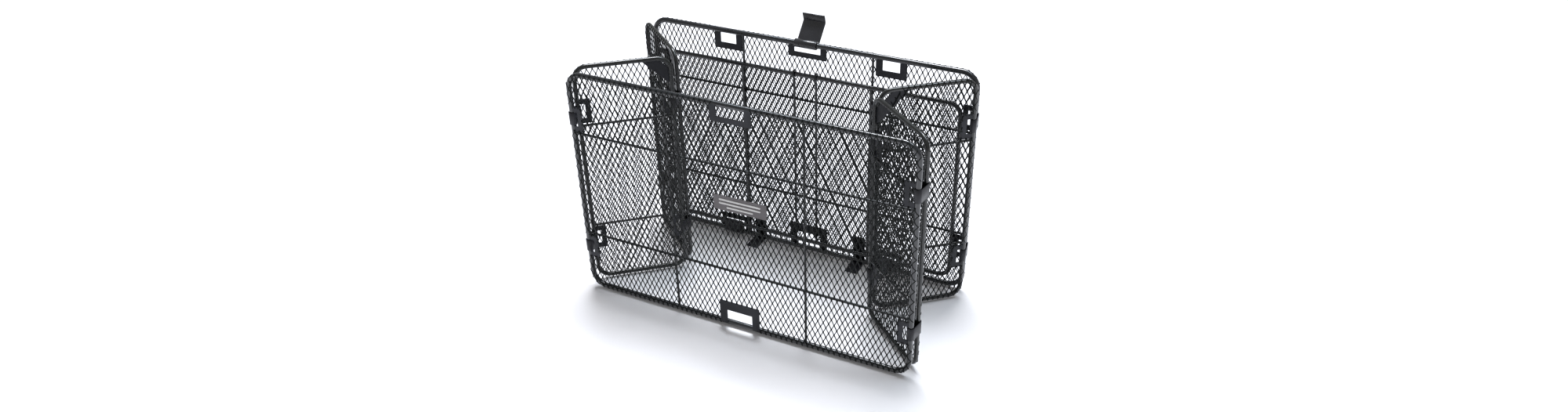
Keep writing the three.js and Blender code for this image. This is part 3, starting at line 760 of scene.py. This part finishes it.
def latch_hook():
    """The latch: a sheet curled round the back's top bar, with a flat body and a bent lip."""
    eye = MAIN_R + STRAP["play"] + LATCH["thick"] / 2
    lean = math.radians(90 - LATCH["lean"])  # the body's direction, above the rear
    bend = math.radians(LATCH["bend"])
    quarter = math.pi / 2
    curl = arc((0, 0), eye, lean - quarter - math.radians(LATCH["curl"]), lean - quarter, 26)
    start, flat = Vector(curl[-1]), direction(lean)
    bend_from = start + flat * (LATCH["body"] - LATCH["radius"] * math.tan(bend / 2))
    bend_centre = bend_from + direction(lean + quarter) * LATCH["radius"]
    turn = arc(bend_centre, LATCH["radius"], lean - quarter, lean + bend - quarter, 8)
    tip = Vector(turn[-1]) + direction(lean + bend) * (LATCH["lip"] - LATCH["radius"])
    run = [*curl, start + flat * LATCH["hold"], *turn, tip]
    latch = Shape()
    latch.sweep([(0, n, z) for n, z in run], [ACROSS] * len(run),
                strip(LATCH["thick"], LATCH["wide"], LATCH["soft"]))
    piece("latch_sheet", "latch", Place(TOP, (1, 0, 0), (0, 1, 0)), latch, LATCH_COAT, ["latch_hook"])


def label_plate():
    """The front's label plate, with plain raised lines where the photo has writing."""
    size = box_size("label_plate") / MM
    place = Place(box_middle("label_plate"), (1, 0, 0), (0, -1, 0))
    half_wide, half_tall, half_thick = size.x / 2, size.z / 2, size.y / 2
    badge = Shape()
    outline = rounded_rectangle(-half_wide, half_wide, -half_tall, half_tall, LABEL["corner"], 5)
    badge.slab(outline[::-1], -half_thick, half_thick)
    piece("label_sheet", "front", place, badge, LABEL_COAT, ["label_plate"], bevel=LABEL["edge"])
    lines = Shape()
    for z, share in LABEL_LINES:
        half, tall = half_wide * share, LABEL["line"] / 2
        line = rounded_rectangle(-half, half, z - tall, z + tall, LABEL["line_corner"], 4)
        lines.slab(line[::-1], 0, half_thick + LABEL["relief"])
    piece("label_lines", "front", place, lines, RELIEF_COAT)


# ---------------------------------------------------------------- the basket
long_panel("back", BACK_PLACE, True)
long_panel("front", FRONT_PLACE, False)
for name, way in SIDES:
    folding_end(name, way)
for name, way in SIDES:
    hinge_straps(name, way)
floor_bars()
floor_mesh()
for name, way in SIDES:
    floor_rod(name, way)
    floor_wire(name, way)
    floor_strap(name)
for name, way in SIDES:
    floor_tongue(name, way)
latch_hook()
label_plate()

# ---------------------------------------------------------------- floor, light and camera
FLOOR_REACH = 30.0  # metres, as all of the studio
PAPER_COLOUR, PAPER_ROUGHNESS, PAPER_SHINE = (0.92, 0.91, 0.93, 1), 0.9, 0.1
ROOM_GLOW, BACKDROP_GLOW = 0.35, 1.0
SKY = {"at": (-0.3, 0.6, 2.2), "target": (0, 0, 0), "power": 2.2, "colour": (1.0, 0.99, 1.0)}
SKY_ANGLE = math.radians(24)
OVERHEAD = {"at": (0.1, 0.45, 1.9), "target": (0, 0, 0.15), "power": 30, "colour": (0.8, 0.9, 1.0)}
OVERHEAD_SIZE = (2.2, 0.3)
CAMERA_AT = Vector((0.47233, -0.91332, 0.73176))
CAMERA_TARGET = Vector((0.00838, -0.00247, 0.11000))
CAMERA_ROLL = math.radians(-1.25)
CAMERA_LENS = 24.42


def stage_floor():
    data = bpy.data.meshes.new("studio_floor")
    corners = [(x * FLOOR_REACH, y * FLOOR_REACH, 0) for x, y in ((-1, -1), (1, -1), (1, 1), (-1, 1))]
    data.from_pydata(corners, [], [(0, 1, 2, 3)])
    made = bpy.data.objects.new("studio_floor", data)
    bpy.context.scene.collection.objects.link(made)
    paper = bpy.data.materials.new("pale_paper")
    paper.use_nodes = True
    shader = paper.node_tree.nodes["Principled BSDF"]
    shader.inputs["Base Color"].default_value = PAPER_COLOUR
    shader.inputs["Roughness"].default_value = PAPER_ROUGHNESS
    shader.inputs["Specular IOR Level"].default_value = PAPER_SHINE
    data.materials.append(paper)


def aimed_light(name, kind, at, target, power, colour):
    data = bpy.data.lights.new(name, kind)
    data.energy = power
    data.color = colour
    made = bpy.data.objects.new(name, data)
    made.location = at
    made.rotation_euler = (Vector(target) - Vector(at)).to_track_quat("-Z", "Y").to_euler()
    bpy.context.scene.collection.objects.link(made)
    return data


def studio_world():
    """An even white room, brighter where the camera sees it directly."""
    world = bpy.data.worlds.new("studio")
    world.use_nodes = True
    tree = world.node_tree
    background = tree.nodes["Background"]
    background.inputs["Color"].default_value = (1, 1, 1, 1)
    seen = node(tree, "ShaderNodeLightPath")
    glow = node(tree, "ShaderNodeMix", data_type="FLOAT")
    glow.inputs["A"].default_value = ROOM_GLOW
    glow.inputs["B"].default_value = BACKDROP_GLOW
    tree.links.new(seen.outputs["Is Camera Ray"], glow.inputs["Factor"])
    tree.links.new(glow.outputs["Result"], background.inputs["Strength"])
    bpy.context.scene.world = world


def studio_camera():
    data = bpy.data.cameras.new("camera")
    data.lens = CAMERA_LENS
    made = bpy.data.objects.new("camera", data)
    made.location = CAMERA_AT
    aim = (CAMERA_TARGET - CAMERA_AT).to_track_quat("-Z", "Y")
    made.rotation_mode = "QUATERNION"
    made.rotation_quaternion = aim @ Quaternion((0, 0, 1), CAMERA_ROLL)
    bpy.context.scene.collection.objects.link(made)
    bpy.context.scene.camera = made


stage_floor()
studio_world()
sky = aimed_light("soft_sky", "SUN", **SKY)
sky.angle = SKY_ANGLE
overhead = aimed_light("overhead", "AREA", **OVERHEAD)
overhead.shape = "RECTANGLE"
overhead.size, overhead.size_y = OVERHEAD_SIZE
bpy.context.scene.view_settings.view_transform = "Standard"
studio_camera()
